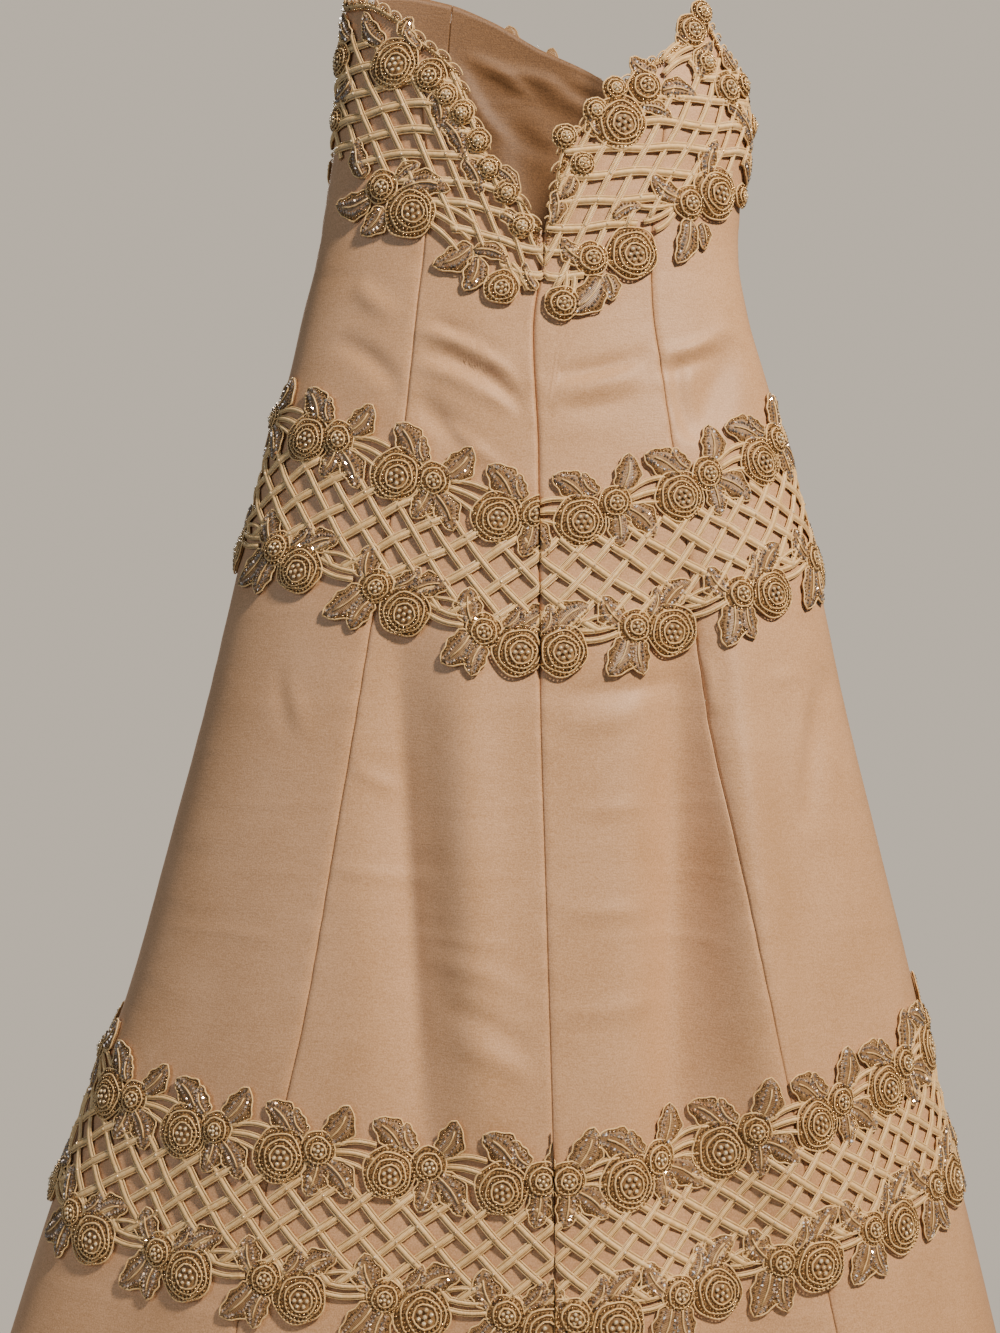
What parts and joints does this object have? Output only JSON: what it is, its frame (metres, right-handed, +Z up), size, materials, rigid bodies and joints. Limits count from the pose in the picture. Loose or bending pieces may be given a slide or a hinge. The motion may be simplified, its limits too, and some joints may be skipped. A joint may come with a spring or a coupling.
{
  "type": "beaded a-line dress on a hanger",
  "caption": "Strapless A-line gown in pale satin with bands of beaded cutwork lace at neckline, hips and knees, hung by thin loops from a plain hanger",
  "frame": {"origin": "The inner top of the hanger's hook, where a rail or a wall hook carries the whole dress", "axes": "+Z up. The side with the deep V neckline faces -Y. +X is to the right seen from -Y. The dress hangs below the origin"},
  "size_m": [0.9824, 0.4008, 1.6291],
  "materials": {
    "satin": "heavy duchess satin, soft sheen",
    "lining": "thin satin lining",
    "lace": "corded cutwork lace with beads",
    "ribbon": "narrow satin ribbon",
    "hanger_wood": "clear varnish",
    "hook_wire": "plated wire"
  },
  "bodies": {
    "root": {"front_centre_left": "satin", "front_centre_right": "satin", "front_side_left": "satin", "front_side_right": "satin", "back_side_left": "satin", "back_side_right": "satin", "back_centre": "satin", "lining_left": "lining", "lining_centre": "lining", "lining_right": "lining", "neck_lace_left": "lace", "neck_lace_right": "lace", "hip_lace_left": "lace", "hip_lace_right": "lace", "low_lace_left": "lace", "low_lace_right": "lace", "loop_left": "ribbon", "loop_right": "ribbon", "hanger": "hanger_wood", "hanger_hook": "hook_wire"}
  },
  "joints": []
}
